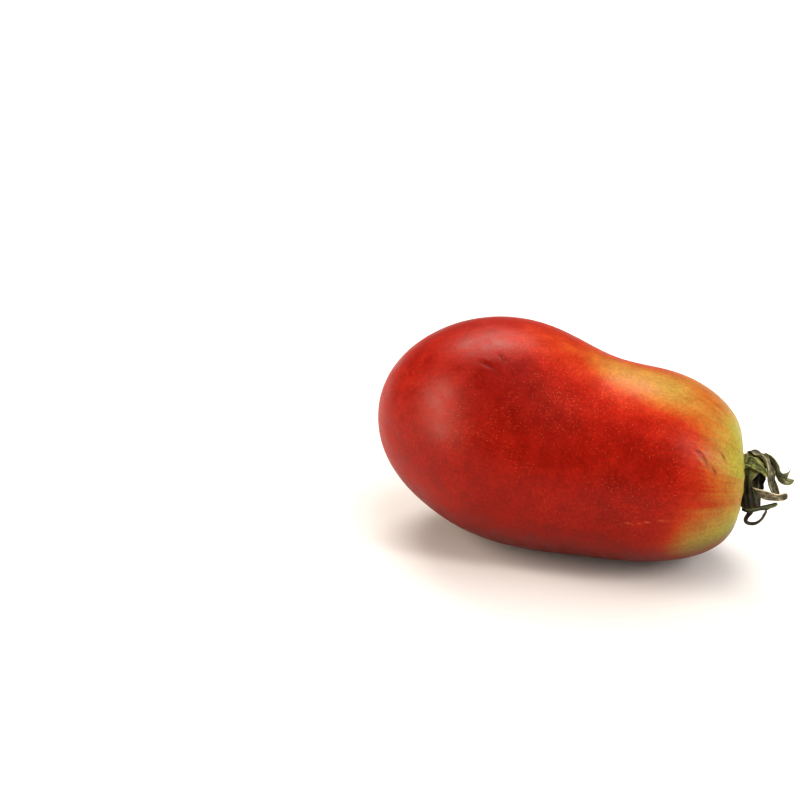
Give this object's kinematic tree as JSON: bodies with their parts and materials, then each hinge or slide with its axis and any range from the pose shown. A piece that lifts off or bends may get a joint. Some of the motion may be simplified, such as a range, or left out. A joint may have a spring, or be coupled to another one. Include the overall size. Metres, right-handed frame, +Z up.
{
  "type": "tomato",
  "caption": "Ripe plum tomato lying on its side on a small flat spot, with a dried, curled calyx at its stem end.",
  "frame": {"origin": "on the small flat spot of the underside that the fruit rests on, under its lowest point", "axes": "+Z up, +X along the fruit from its blossom end to its stem end and calyx"},
  "size_m": [0.0787, 0.0424, 0.0425],
  "materials": {
    "ripe_skin": "waxy, softly glossy ripe tomato skin, red with orange and yellow-green towards the stem",
    "dark_calyx": "matt, dark green to brown dried calyx base",
    "dry_stalk": "dry, rough broken stalk",
    "dry_sepal": "matt, dry olive sepals with pale ridges"
  },
  "bodies": {
    "root": {"fruit": "ripe_skin", "calyx_cup": "dark_calyx", "pedicel": "dry_stalk", "sepal_1": "dry_sepal", "sepal_2": "dry_sepal", "sepal_3": "dry_sepal", "sepal_4": "dry_sepal", "sepal_5": "dry_sepal", "sepal_6": "dry_sepal"}
  },
  "joints": []
}
